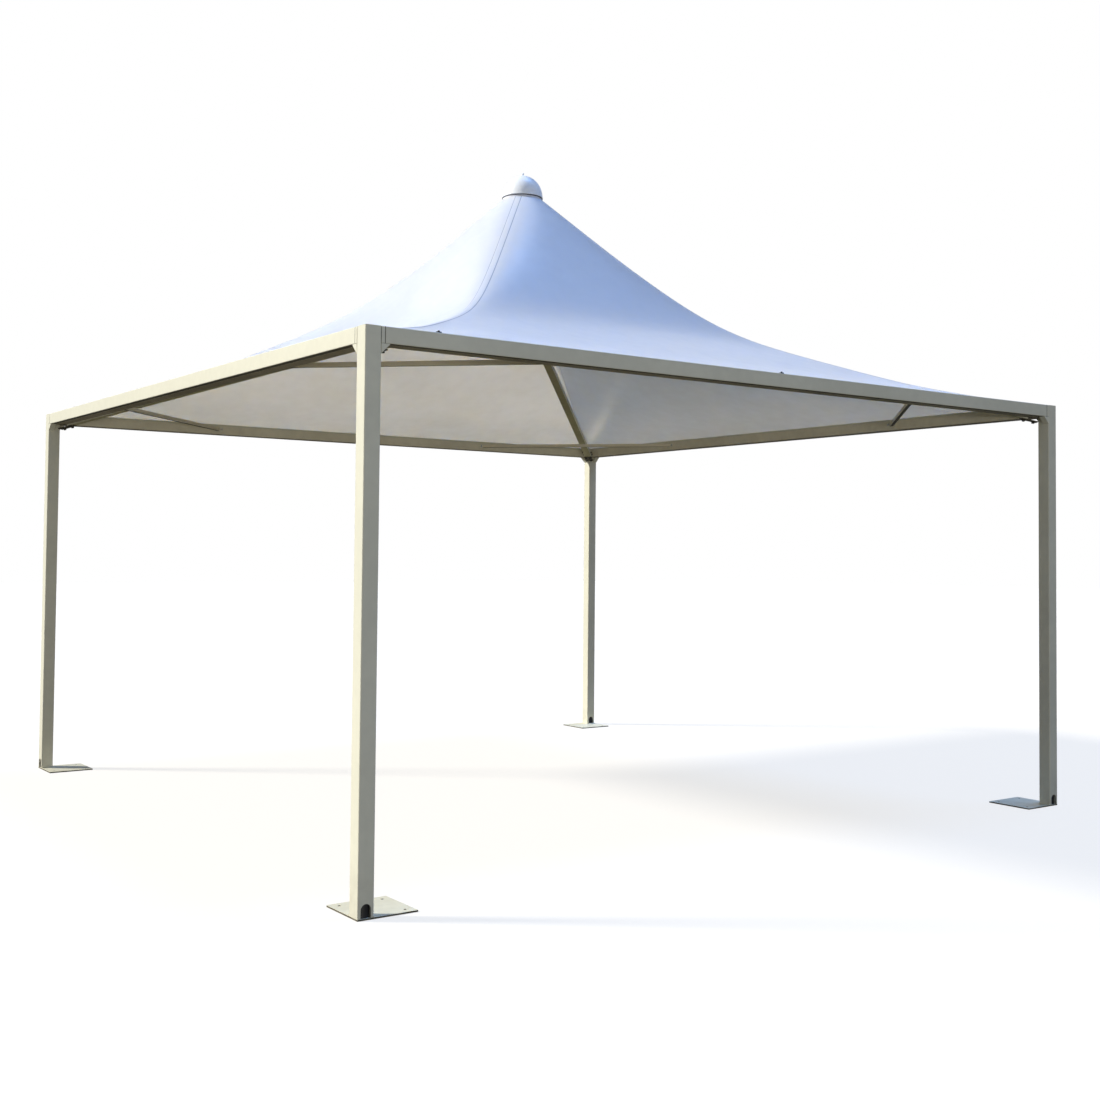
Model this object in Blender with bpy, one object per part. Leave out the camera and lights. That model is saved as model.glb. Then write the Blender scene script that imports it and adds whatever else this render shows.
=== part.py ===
"""Square garden gazebo: four steel posts, box beams with a rain gutter, and a tensioned pointed fabric roof.

Units are metres and +Z is up. The origin is on the ground at the middle of the square, and the front side
faces -Y. A repeated piece is drawn once, for the front side or the front left corner. Four empties, each
turned a quarter turn further about Z, carry its copies to the other sides and corners.
"""

import math

import bmesh
import bpy
from mathutils import Matrix

# Overall sizes
HALF_SIDE = 2.5
BEAM_TOP = 2.57
GAP = 0.0003

# Posts and foot plates
POST_SIZE = 0.08
POST_WALL = 0.003
PLATE_SIZE = 0.3
PLATE_THICKNESS = 0.008
ANCHOR_RADIUS = 0.0075
ANCHOR_INSET = 0.043
DRAIN_WIDTH = 0.05
DRAIN_HEIGHT = 0.07

# Beams, gutters and gussets round the top
BEAM_DEPTH = 0.04
BEAM_HEIGHT = 0.076
BEAM_WALL = 0.002
GUTTER_INNER = 0.108
GUTTER_WALL = 0.0015
GUTTER_LIP = 0.018
GUTTER_RIM_DROP = 0.004
GUSSET_LEG = 0.045

# Corner braces
BRACE_REACH = 1.38
BRACE_SIZE = 0.025
BRACE_WALL = 0.002
BRACE_DROP = 0.036

# Hip rafters, hub and mast, with heights above the beam top
RAFTER_WIDTH = 0.06
RAFTER_HEIGHT = 0.04
RAFTER_WALL = 0.002
RAFTER_START = -0.0734
RAFTER_SLOPE = 0.24
HUB_SIZE = 0.11
HUB_HEIGHT = 0.1
MAST_RADIUS = 0.03
MAST_WALL = 0.003
MAST_TAIL = 0.07
CROWN_RADIUS = 0.12
CROWN_THICKNESS = 0.006

# Canopy, with heights above the beam top and radii from the middle
HEM_HALF = 2.44
CANOPY_THICKNESS = 0.003
CANOPY_TOP = 1.465
NECK_RADIUS = 0.125
NECK_FLANGE_RADIUS = 0.088
SIDE_STEPS = 10
CANOPY_ROWS = 18
CORNER_SLOPE = 0.179
LOWER_BEND = (0.061, 0.10, 2.6)
UPPER_BEND = (0.574, 0.19, 1.393)
ROUNDING = 1.5

# Dome cap
CAP_RADIUS = 0.14
CAP_HEIGHT = 0.158
CAP_WALL = 0.003
CAP_RIM_HEIGHT = 0.006
CAP_RIM_INNER = 0.1
CAP_ARC_STEPS = 10
SEAL_HEIGHT = 0.005
SEAL_OVERHANG = 0.001
KNOB_RADIUS = 0.01
KNOB_TIP_RADIUS = 0.007
KNOB_SHOULDER = 0.012
KNOB_TIP_START = 0.019
KNOB_HEIGHT = 0.022

# Roundness, and how far a cutter reaches past what it cuts
ROUND_SEGMENTS = 32
KNOB_SEGMENTS = 16
ANCHOR_SEGMENTS = 20
ARCH_SEGMENTS = 12
SHARP_ANGLE = math.radians(35)
CUT_MARGIN = 0.01
MERGE_DISTANCE = 0.000001

SIDES = ("front", "right", "back", "left")
CORNERS = ("front_left", "front_right", "back_right", "back_left")

# How far each post's drain opening is turned from the outer front face of its corner, in degrees
DRAIN_TURNS = (0, -90, 180, 0)

# Inner faces of the gutters, seen from the corner's outer point
INNER_FACE = GUTTER_INNER + GAP


def clear_scene():
    """Empty the file of objects."""
    for item in list(bpy.data.objects):
        bpy.data.objects.remove(item)


def make_material(name, colour, roughness, metallic):
    """Return a plain Principled material."""
    made = bpy.data.materials.new(name)
    made.use_nodes = True
    shader = made.node_tree.nodes["Principled BSDF"]
    shader.inputs["Base Color"].default_value = (*colour, 1.0)
    shader.inputs["Roughness"].default_value = roughness
    shader.inputs["Metallic"].default_value = metallic
    return made


def paint(piece):
    """Return cream satin paint for one kind of piece."""
    return make_material(piece + "_paint", (0.78, 0.76, 0.68), 0.42, 0.0)


def to_mesh(work, name, material, smooth=False):
    """Turn a working mesh into a mesh with its faces pointing out, shaded smooth if it is round."""
    bmesh.ops.recalc_face_normals(work, faces=work.faces)
    mesh = bpy.data.meshes.new(name)
    work.to_mesh(mesh)
    work.free()
    mesh.materials.append(material)
    if smooth:
        mesh.shade_smooth()
        mesh.set_sharp_from_angle(angle=SHARP_ANGLE)
    return mesh


def place(name, mesh, parent=None, location=(0.0, 0.0, 0.0), turn=0.0):
    """Add an object at a place, turned about Z by an angle in degrees."""
    made = bpy.data.objects.new(name, mesh)
    made.location = location
    made.rotation_euler.z = math.radians(turn)
    made.parent = parent
    bpy.context.scene.collection.objects.link(made)
    return made


def quarter_empties():
    """Return four empties at the middle of the square, each a quarter turn on from the last."""
    return [place("quarter_" + CORNERS[i], None, turn=90 * i) for i in range(4)]


def cut(target, cutter):
    """Subtract the cutter from the target with an exact Boolean."""
    cutter.hide_render = True
    cutter.display_type = "WIRE"
    step = target.modifiers.new("cut_" + cutter.name, "BOOLEAN")
    step.operation = "DIFFERENCE"
    step.solver = "EXACT"
    step.object = cutter


def add_line(work, points):
    """Add an open line to a working mesh and return its edges."""
    corners = [work.verts.new(point) for point in points]
    return [work.edges.new(pair) for pair in zip(corners, corners[1:])]


def add_outline(work, points):
    """Add a closed outline to a working mesh and return its edges."""
    corners = [work.verts.new(point) for point in points]
    return [work.edges.new((corners[i - 1], corners[i])) for i in range(len(corners))]


def extrude(work, faces, offset):
    """Extrude flat faces into a solid."""
    made = bmesh.ops.extrude_face_region(work, geom=faces)
    moved = [item for item in made["geom"] if isinstance(item, bmesh.types.BMVert)]
    bmesh.ops.translate(work, verts=moved, vec=offset)


def trim(work, point, outward):
    """Cut away what lies beyond a plane, and close the cut."""
    everything = work.verts[:] + work.edges[:] + work.faces[:]
    made = bmesh.ops.bisect_plane(
        work, geom=everything, dist=MERGE_DISTANCE, plane_co=point, plane_no=outward, clear_outer=True
    )
    edges = [item for item in made["geom_cut"] if isinstance(item, bmesh.types.BMEdge)]
    bmesh.ops.triangle_fill(work, edges=edges, use_beauty=True)


def rectangle(width, height, x=0.0):
    """Return the corners of a rectangle that faces +X."""
    half_width = width / 2
    half_height = height / 2
    return [
        (x, -half_width, -half_height),
        (x, half_width, -half_height),
        (x, half_width, half_height),
        (x, -half_width, half_height),
    ]


def box_tube(length, width, height, wall):
    """Return a working mesh of an open box tube along X, with its middle at the origin."""
    work = bmesh.new()
    outer = add_outline(work, rectangle(width, height, -length / 2))
    inner = add_outline(work, rectangle(width - 2 * wall, height - 2 * wall, -length / 2))
    end = bmesh.ops.bridge_loops(work, edges=outer + inner)
    extrude(work, end["faces"], (length, 0.0, 0.0))
    return work


def box(size, centre):
    """Return a working mesh of a box."""
    work = bmesh.new()
    bmesh.ops.create_cube(work, size=1.0, matrix=Matrix.Translation(centre) @ Matrix.Diagonal((*size, 1.0)))
    return work


def add_cylinder(work, radius, height, segments, centre):
    """Add an upright cylinder to a working mesh."""
    bmesh.ops.create_cone(
        work,
        cap_ends=True,
        segments=segments,
        radius1=radius,
        radius2=radius,
        depth=height,
        matrix=Matrix.Translation(centre),
    )


def cylinder(radius, height, segments, centre=(0.0, 0.0, 0.0)):
    """Return a working mesh of an upright cylinder."""
    work = bmesh.new()
    add_cylinder(work, radius, height, segments, centre)
    return work


def pipe(outer_radius, inner_radius, height):
    """Return a working mesh of an upright pipe that stands on the origin."""
    work = bmesh.new()
    bmesh.ops.create_circle(work, segments=ROUND_SEGMENTS, radius=outer_radius)
    bmesh.ops.create_circle(work, segments=ROUND_SEGMENTS, radius=inner_radius)
    end = bmesh.ops.bridge_loops(work, edges=work.edges[:])
    extrude(work, end["faces"], (0.0, 0.0, height))
    return work


def turned_solid(profile, segments):
    """Return a working mesh of a profile that runs from axis to axis, turned about Z."""
    work = bmesh.new()
    points = [work.verts.new((radius, 0.0, height)) for radius, height in profile]
    edges = [work.edges.new(pair) for pair in zip(points, points[1:])]
    bmesh.ops.spin(
        work,
        geom=points + edges,
        cent=(0.0, 0.0, 0.0),
        axis=(0.0, 0.0, 1.0),
        angle=2 * math.pi,
        steps=segments,
        use_merge=True,
    )
    bmesh.ops.remove_doubles(work, verts=work.verts, dist=MERGE_DISTANCE)
    return work


def build_foot_plates(quarters):
    """Build a plate under each post, with anchor holes in its three free corners."""
    centre = -HALF_SIDE + PLATE_SIZE / 2
    size = (PLATE_SIZE, PLATE_SIZE, PLATE_THICKNESS)
    mesh = to_mesh(box(size, (0.0, 0.0, PLATE_THICKNESS / 2)), "foot_plate", paint("foot_plate"))
    reach = PLATE_SIZE / 2 - ANCHOR_INSET
    holes = bmesh.new()
    for x, y in ((reach, -reach), (reach, reach), (-reach, reach)):
        add_cylinder(holes, ANCHOR_RADIUS, PLATE_THICKNESS + 2 * CUT_MARGIN, ANCHOR_SEGMENTS, (x, y, 0.0))
    cutter_mesh = to_mesh(holes, "anchor_cutter", paint("anchor_cutter"))
    for corner, quarter in zip(CORNERS, quarters):
        plate = place("foot_plate_" + corner, mesh, quarter, (centre, centre, 0.0))
        cut(plate, place("anchor_cutter_" + corner, cutter_mesh, quarter, (centre, centre, 0.0)))


def drain_cutter_mesh():
    """Return a round-topped block that passes through the front wall of a post."""
    half = DRAIN_WIDTH / 2
    spring = DRAIN_HEIGHT - half
    front = -POST_SIZE / 2 - CUT_MARGIN
    outline = [(-half, front, -CUT_MARGIN), (half, front, -CUT_MARGIN)]
    for step in range(ARCH_SEGMENTS + 1):
        angle = math.pi * step / ARCH_SEGMENTS
        outline.append((half * math.cos(angle), front, spring + half * math.sin(angle)))
    work = bmesh.new()
    face = work.faces.new([work.verts.new(point) for point in outline])
    extrude(work, [face], (0.0, 2 * CUT_MARGIN, 0.0))
    return to_mesh(work, "drain_cutter", paint("drain_cutter"))


def build_posts(quarters):
    """Build the hollow posts, closed at the top, each with a drain opening at its foot."""
    low = PLATE_THICKNESS + GAP
    height = BEAM_TOP - low
    centre = -HALF_SIDE + POST_SIZE / 2
    work = box((POST_SIZE, POST_SIZE, height), (0.0, 0.0, height / 2))
    bottom = min(work.faces, key=lambda face: face.calc_center_median().z)
    bmesh.ops.delete(work, geom=[bottom], context="FACES_ONLY")
    mesh = to_mesh(work, "post", paint("post"))
    cutter_mesh = drain_cutter_mesh()
    for corner, quarter, turn in zip(CORNERS, quarters, DRAIN_TURNS):
        post = place("post_" + corner, mesh, quarter, (centre, centre, low))
        wall = post.modifiers.new("wall", "SOLIDIFY")
        wall.thickness = POST_WALL
        wall.offset = -1.0
        wall.use_even_offset = True
        cut(post, place("drain_cutter_" + corner, cutter_mesh, quarter, (centre, centre, 0.0), turn))


def build_beams(quarters):
    """Build the outer box beams between the posts."""
    length = 2 * (HALF_SIDE - POST_SIZE - GAP)
    mesh = to_mesh(box_tube(length, BEAM_DEPTH, BEAM_HEIGHT, BEAM_WALL), "beam", paint("beam"))
    location = (0.0, -HALF_SIDE + BEAM_DEPTH / 2, BEAM_TOP - BEAM_HEIGHT / 2)
    for side, quarter in zip(SIDES, quarters):
        place("beam_" + side, mesh, quarter, location)


def gutter_outline():
    """Return the gutter's section as (distance inwards from the outer face, height above the beam top)."""
    wall = GUTTER_WALL
    outer = BEAM_DEPTH + GAP
    lip = GUTTER_INNER - GUTTER_LIP
    floor = -BEAM_HEIGHT
    outside = [
        (outer, -GUTTER_RIM_DROP),
        (outer, floor),
        (GUTTER_INNER, floor),
        (GUTTER_INNER, 0.0),
        (lip, 0.0),
    ]
    inside = [
        (lip, -wall),
        (GUTTER_INNER - wall, -wall),
        (GUTTER_INNER - wall, floor + wall),
        (outer + wall, floor + wall),
        (outer + wall, -GUTTER_RIM_DROP),
    ]
    return outside + inside


def build_gutters(quarters):
    """Build the gutter channels, open at the top, mitred at the corners where they pass the posts."""
    work = bmesh.new()
    points = [(-HALF_SIDE, inwards - HALF_SIDE, BEAM_TOP + up) for inwards, up in gutter_outline()]
    face = work.faces.new([work.verts.new(point) for point in points])
    extrude(work, [face], (2 * HALF_SIDE, 0.0, 0.0))
    post_face = HALF_SIDE - POST_SIZE - GAP
    mitre = GAP * math.sqrt(0.5)
    for end in (-1, 1):
        trim(work, (end * post_face, 0.0, 0.0), (end, 0.0, 0.0))
        trim(work, (0.0, -mitre, 0.0), (end, 1.0, 0.0))
    mesh = to_mesh(work, "gutter", paint("gutter"))
    for side, quarter in zip(SIDES, quarters):
        place("gutter_" + side, mesh, quarter)


def build_gussets(quarters):
    """Build the two small wedges under each beam, one beside each post."""
    x = HALF_SIDE - POST_SIZE - GAP
    high = BEAM_TOP - BEAM_HEIGHT - GAP
    for end, neighbour in ((-1, -1), (1, 1)):
        work = bmesh.new()
        outline = [(end * x, high), (end * (x - GUSSET_LEG), high), (end * x, high - GUSSET_LEG)]
        face = work.faces.new([work.verts.new((px, -HALF_SIDE, pz)) for px, pz in outline])
        extrude(work, [face], (0.0, BEAM_DEPTH, 0.0))
        mesh = to_mesh(work, "gusset", paint("gusset"))
        for index, quarter in enumerate(quarters):
            place("gusset_" + SIDES[index] + "_" + SIDES[(index + neighbour) % 4], mesh, quarter)


def build_braces(quarters):
    """Build the level braces across the corners, between the inner faces of the gutters."""
    work = box_tube(BRACE_REACH * math.sqrt(2), BRACE_SIZE, BRACE_SIZE, BRACE_WALL)
    middle = -HALF_SIDE + BRACE_REACH / 2
    turn = Matrix.Rotation(-math.pi / 4, 4, "Z")
    work.transform(Matrix.Translation((middle, middle, BEAM_TOP - BRACE_DROP)) @ turn)
    edge = -HALF_SIDE + INNER_FACE
    trim(work, (edge, 0.0, 0.0), (-1.0, 0.0, 0.0))
    trim(work, (0.0, edge, 0.0), (0.0, -1.0, 0.0))
    mesh = to_mesh(work, "brace", paint("brace"))
    for corner, quarter in zip(CORNERS, quarters):
        place("brace_" + corner, mesh, quarter)


def rafter_height(distance):
    """Return the height of a rafter's middle line at a level distance from the corner of the square."""
    return BEAM_TOP + RAFTER_START + RAFTER_SLOPE * (distance - INNER_FACE * math.sqrt(2))


def build_rafters(quarters):
    """Build the hip rafters, pointed into the gutter corners and square against the hub."""
    diagonal = HALF_SIDE * math.sqrt(2)
    work = box_tube(diagonal + 2 * HUB_SIZE, RAFTER_WIDTH, RAFTER_HEIGHT, RAFTER_WALL)
    pitch = Matrix.Rotation(-math.atan(RAFTER_SLOPE), 4, "Y")
    turn = Matrix.Rotation(math.pi / 4, 4, "Z")
    middle = Matrix.Translation((-HALF_SIDE / 2, -HALF_SIDE / 2, rafter_height(diagonal / 2)))
    work.transform(middle @ turn @ pitch)
    edge = -HALF_SIDE + INNER_FACE
    trim(work, (edge, 0.0, 0.0), (-1.0, 0.0, 0.0))
    trim(work, (0.0, edge, 0.0), (0.0, -1.0, 0.0))
    hub_face = -(HUB_SIZE / 2 + GAP) * math.sqrt(0.5)
    trim(work, (hub_face, hub_face, 0.0), (1.0, 1.0, 0.0))
    mesh = to_mesh(work, "rafter", paint("rafter"))
    for corner, quarter in zip(CORNERS, quarters):
        place("rafter_" + corner, mesh, quarter)


def build_hub_and_mast():
    """Build the square hub that the rafters meet at, the mast through it and the crown plate on top."""
    hub_middle = rafter_height(HALF_SIDE * math.sqrt(2) - HUB_SIZE / 2)
    hub_mesh = to_mesh(box((HUB_SIZE, HUB_SIZE, HUB_HEIGHT), (0.0, 0.0, 0.0)), "hub", paint("hub"))
    hub = place("hub", hub_mesh, location=(0.0, 0.0, hub_middle), turn=45)
    bore = cylinder(MAST_RADIUS + GAP, HUB_HEIGHT + 2 * CUT_MARGIN, ROUND_SEGMENTS)
    bore_mesh = to_mesh(bore, "hub_bore_cutter", paint("hub_bore"))
    cut(hub, place("hub_bore_cutter", bore_mesh, location=(0.0, 0.0, hub_middle)))
    crown_top = BEAM_TOP + CANOPY_TOP - GAP
    crown_low = crown_top - CROWN_THICKNESS
    mast_low = hub_middle - HUB_HEIGHT / 2 - MAST_TAIL
    mast = pipe(MAST_RADIUS, MAST_RADIUS - MAST_WALL, crown_low - GAP - mast_low)
    place("mast", to_mesh(mast, "mast", paint("mast"), smooth=True), location=(0.0, 0.0, mast_low))
    crown = cylinder(CROWN_RADIUS, CROWN_THICKNESS, ROUND_SEGMENTS, (0.0, 0.0, CROWN_THICKNESS / 2))
    crown_mesh = to_mesh(crown, "crown_plate", paint("crown_plate"), smooth=True)
    place("crown_plate", crown_mesh, location=(0.0, 0.0, crown_low))


def soft_bend(radius, bend):
    """Return the extra rise of a slope that steepens smoothly inside a radius."""
    gain, width, middle = bend
    return gain * width * math.log1p(math.exp((middle - radius) / width))


def hip_height(radius):
    """Return the height of a hip line of the canopy above the beam top."""
    corner = (HALF_SIDE - GUTTER_INNER) * math.sqrt(2)
    return CORNER_SLOPE * (corner - radius) + soft_bend(radius, LOWER_BEND) + soft_bend(radius, UPPER_BEND)


def contour_radius(hip_radius, squareness, angle):
    """Return the radius of a level line that is round at squareness 0 and square at squareness 1."""
    big = max(abs(math.cos(angle)), abs(math.sin(angle)))
    small = min(abs(math.cos(angle)), abs(math.sin(angle)))
    power = max(0.5 * (1 - squareness), 0.004)
    length = big * (1 + (small / big) ** (1 / power)) ** power
    return hip_radius * 2 ** (power - 0.5) / length


def square_radius(half, angle):
    """Return the radius of a square outline."""
    return half / max(abs(math.cos(angle)), abs(math.sin(angle)))


def panel_angles():
    """Return the angles of the front panel's columns, which split the front side of the square evenly."""
    return [math.atan2(-1.0, 2 * step / SIDE_STEPS - 1) for step in range(SIDE_STEPS + 1)]


def panel_rows(angles):
    """Return the underside of a panel as (radii, height above the beam top) rows, from hem to neck."""
    eave = HALF_SIDE - GUTTER_INNER
    corner = eave * math.sqrt(2)
    rows = [([square_radius(half, angle) for angle in angles], GAP) for half in (HEM_HALF, eave)]
    neck_rise = hip_height(NECK_RADIUS)
    for row in range(1, CANOPY_ROWS + 1):
        hip_radius = corner + (NECK_RADIUS - corner) * row / CANOPY_ROWS
        rise = hip_height(hip_radius) / neck_rise
        squareness = 1 - rise**ROUNDING
        radii = [contour_radius(hip_radius, squareness, angle) for angle in angles]
        rows.append((radii, rise * CANOPY_TOP))
    rows.append(([NECK_FLANGE_RADIUS] * len(angles), CANOPY_TOP))
    return rows


def build_canopy(quarters):
    """Build the fabric roof: four curved panels on the gutter lips, parted at the hips and open at the neck."""
    angles = panel_angles()
    work = bmesh.new()
    lines = []
    for radii, height in panel_rows(angles):
        points = [
            (radius * math.cos(angle), radius * math.sin(angle), BEAM_TOP + height)
            for radius, angle in zip(radii, angles)
        ]
        lines.append(add_line(work, points))
    for lower, upper in zip(lines, lines[1:]):
        bmesh.ops.bridge_loops(work, edges=lower + upper)
    cloth = make_material("canopy_cloth", (0.82, 0.85, 0.92), 0.55, 0.0)
    mesh = to_mesh(work, "canopy_panel", cloth, smooth=True)
    outward = (0.0, -GAP * math.sqrt(0.5), 0.0)
    for side, quarter in zip(SIDES, quarters):
        panel = place("canopy_" + side, mesh, quarter, outward)
        thickness = panel.modifiers.new("thickness", "SOLIDIFY")
        thickness.thickness = CANOPY_THICKNESS
        thickness.offset = 1.0
        thickness.use_even_offset = True
        thickness.use_quality_normals = True


def cap_profile():
    """Return the section of the hollow dome, from its top outside to its top inside."""
    profile = []
    for step in range(CAP_ARC_STEPS + 1):
        angle = math.pi / 2 * (1 - step / CAP_ARC_STEPS)
        rise = (CAP_HEIGHT - CAP_RIM_HEIGHT) * math.sin(angle)
        profile.append((CAP_RADIUS * math.cos(angle), CAP_RIM_HEIGHT + rise))
    profile.append((CAP_RADIUS, 0.0))
    profile.append((CAP_RIM_INNER, 0.0))
    profile.append((CAP_RIM_INNER, CAP_WALL))
    profile.append((CAP_RADIUS - CAP_WALL, CAP_WALL))
    for step in range(CAP_ARC_STEPS, -1, -1):
        angle = math.pi / 2 * (1 - step / CAP_ARC_STEPS)
        rise = (CAP_HEIGHT - CAP_RIM_HEIGHT - CAP_WALL) * math.sin(angle)
        profile.append(((CAP_RADIUS - CAP_WALL) * math.cos(angle), CAP_RIM_HEIGHT + rise))
    profile[0] = (0.0, profile[0][1])
    profile[-1] = (0.0, profile[-1][1])
    return profile


def build_cap():
    """Build the seal, the hollow dome and the knob over the neck of the canopy."""
    grey = make_material("cap_plastic", (0.62, 0.66, 0.74), 0.35, 0.0)
    rubber = make_material("cap_seal_rubber", (0.05, 0.05, 0.06), 0.8, 0.0)
    seal_low = BEAM_TOP + CANOPY_TOP + CANOPY_THICKNESS + GAP
    seal = pipe(CAP_RADIUS + SEAL_OVERHANG, CAP_RIM_INNER, SEAL_HEIGHT)
    place("cap_seal", to_mesh(seal, "cap_seal", rubber, smooth=True), location=(0.0, 0.0, seal_low))
    dome_low = seal_low + SEAL_HEIGHT + GAP
    dome = turned_solid(cap_profile(), ROUND_SEGMENTS)
    place("dome_cap", to_mesh(dome, "dome_cap", grey, smooth=True), location=(0.0, 0.0, dome_low))
    knob_profile = [
        (0.0, 0.0),
        (KNOB_RADIUS, 0.0),
        (KNOB_RADIUS, KNOB_SHOULDER),
        (KNOB_TIP_RADIUS, KNOB_TIP_START),
        (0.0, KNOB_HEIGHT),
    ]
    knob = turned_solid(knob_profile, KNOB_SEGMENTS)
    knob_mesh = to_mesh(knob, "cap_knob", grey, smooth=True)
    place("cap_knob", knob_mesh, location=(0.0, 0.0, dome_low + CAP_HEIGHT + GAP))


def build():
    """Build the whole gazebo."""
    clear_scene()
    quarters = quarter_empties()
    build_foot_plates(quarters)
    build_posts(quarters)
    build_beams(quarters)
    build_gutters(quarters)
    build_gussets(quarters)
    build_braces(quarters)
    build_rafters(quarters)
    build_hub_and_mast()
    build_canopy(quarters)
    build_cap()


build()
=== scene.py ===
"""Looks of a square garden gazebo: cream painted steel, a tensioned coated cloth roof and a moulded dome cap.

Everything is in metres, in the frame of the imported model: +Z up, the origin on the ground at the middle of
the square, and the front side facing -Y. Each class below is one sub-assembly. It holds its own sizes, builds
its meshes and dresses them. What repeats at the sides is drawn at the front, what repeats at the corners is
drawn at the front left, and both are turned from there.
"""

import logging
import math
from collections.abc import Callable, Iterable, Sequence
from dataclasses import dataclass
from enum import Enum
from functools import cache

import bmesh
import bpy
import numpy as np
from mathutils import Matrix, Vector


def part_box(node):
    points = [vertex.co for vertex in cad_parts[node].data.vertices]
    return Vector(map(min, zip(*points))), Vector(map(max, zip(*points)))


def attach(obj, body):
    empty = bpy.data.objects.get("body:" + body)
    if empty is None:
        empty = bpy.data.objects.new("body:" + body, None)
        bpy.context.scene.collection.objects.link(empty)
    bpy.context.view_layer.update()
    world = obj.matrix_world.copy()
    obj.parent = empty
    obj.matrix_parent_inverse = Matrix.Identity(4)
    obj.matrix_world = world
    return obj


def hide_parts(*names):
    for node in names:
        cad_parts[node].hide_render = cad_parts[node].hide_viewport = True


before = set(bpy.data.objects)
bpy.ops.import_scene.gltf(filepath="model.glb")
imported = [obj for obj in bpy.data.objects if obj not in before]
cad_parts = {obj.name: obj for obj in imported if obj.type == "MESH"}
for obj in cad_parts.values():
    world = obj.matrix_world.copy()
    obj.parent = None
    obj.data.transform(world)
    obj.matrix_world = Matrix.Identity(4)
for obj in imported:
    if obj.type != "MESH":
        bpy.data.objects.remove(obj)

LOG = logging.getLogger("gazebo")
BODY = "root"
LONG_EDGE = 0.9
FLAT_ANGLE = math.radians(0.5)
SHARP_ANGLE = math.radians(35)
SQUARE_ANGLE = math.radians(50)
LEVEL_NORMAL = 0.9
UPRIGHT_NORMAL = 0.1
MERGE_DISTANCE = 0.00001
TINY = 0.000001
CLEARANCE = 0.0002
SWAP_XY = Matrix(((0, 1, 0, 0), (1, 0, 0, 0), (0, 0, 1, 0), (0, 0, 0, 1)))

Pair = tuple[float, float]
Triple = tuple[float, float, float]
Quad = tuple[float, float, float, float]
Inputs = dict[str | int, object]
Tree = bpy.types.NodeTree
Node = bpy.types.Node
Socket = bpy.types.NodeSocket
Material = bpy.types.Material
Object = bpy.types.Object
Mesh = bmesh.types.BMesh
Vert = bmesh.types.BMVert
Edge = bmesh.types.BMEdge
Face = bmesh.types.BMFace


class QuarterTurn(Enum):
    """A place on the square, in quarter turns from the first one."""

    @property
    def label(self) -> str:
        """The place's name in node names."""
        return self.name.lower()

    @property
    def turn(self) -> Matrix:
        """The turn about Z that carries the first place to this one."""
        return Matrix.Rotation(self.value * math.pi / 2, 4, "Z")


class Side(QuarterTurn):
    """A side of the square."""

    FRONT = 0
    RIGHT = 1
    BACK = 2
    LEFT = 3


class Corner(QuarterTurn):
    """A corner of the square."""

    FRONT_LEFT = 0
    FRONT_RIGHT = 1
    BACK_RIGHT = 2
    BACK_LEFT = 3


class Slot(Enum):
    """The record's material slots."""

    PAINT = "frame_paint"
    CLOTH = "canopy_fabric"
    PLASTIC = "cap_plastic"
    RUBBER = "cap_seal_rubber"


# Node wiring


@dataclass(frozen=True)
class Wiring:
    """Adds nodes to one node tree and links them."""

    tree: Tree

    def feed(self, node: Node, inputs: Inputs) -> None:
        """Set or link a node's inputs.

        Args:
            node: The node.
            inputs: Values or source sockets, by the input's name or number.
        """
        for key, value in inputs.items():
            if isinstance(value, Socket):
                self.tree.links.new(value, node.inputs[key])
            else:
                node.inputs[key].default_value = value

    def node(self, kind: str, inputs: Inputs | None = None, **settings: object) -> Node:
        """Add a node.

        Args:
            kind: The name of its type, after "ShaderNode".
            inputs: Values or source sockets, by the input's name or number.
            settings: Its properties.

        Returns:
            The node.
        """
        made = self.tree.nodes.new("ShaderNode" + kind)
        for name, value in settings.items():
            setattr(made, name, value)
        self.feed(made, inputs or {})
        return made

    def group(self, tree: Tree, **inputs: object) -> Node:
        """Place a node group with its values."""
        return self.node("Group", inputs, node_tree=tree)

    def place(self) -> Socket:
        """Return the object coordinates."""
        return self.node("TexCoord").outputs["Object"]

    def part(self, vector: Socket, axis: int) -> Socket:
        """Return one part of a vector."""
        return self.node("SeparateXYZ", {0: vector}).outputs[axis]

    def maths(self, operation: str, *values: object) -> Socket:
        """Return the result of a maths node."""
        return self.node("Math", dict(enumerate(values)), operation=operation).outputs[0]

    def ramp(self, value: Socket, start: float, end: float) -> Socket:
        """Return a soft step from 0 at the start to 1 at the end, whichever of them is higher."""
        return self.node("MapRange", {0: value, 1: start, 2: end}, interpolation_type="SMOOTHSTEP").outputs[0]

    def blend(self, share: object, first: object, second: object) -> Socket:
        """Return a mix of two colours by a share of the second."""
        return self.node("Mix", {0: share, 6: first, 7: second}, data_type="RGBA").outputs[2]

    def noise(self, place: Socket, scale: object, detail: float = 2.0) -> Socket:
        """Return the value of a noise texture."""
        return self.node("TexNoise", {"Vector": place, "Scale": scale, "Detail": detail}).outputs["Fac"]

    def bump(self, strength: float, distance: object, height: Socket, **under: Socket) -> Socket:
        """Return the normal of a relief, with Normal given where it lies over another one."""
        inputs = {"Strength": strength, "Distance": distance, "Height": height, **under}
        return self.node("Bump", inputs).outputs[0]


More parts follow.
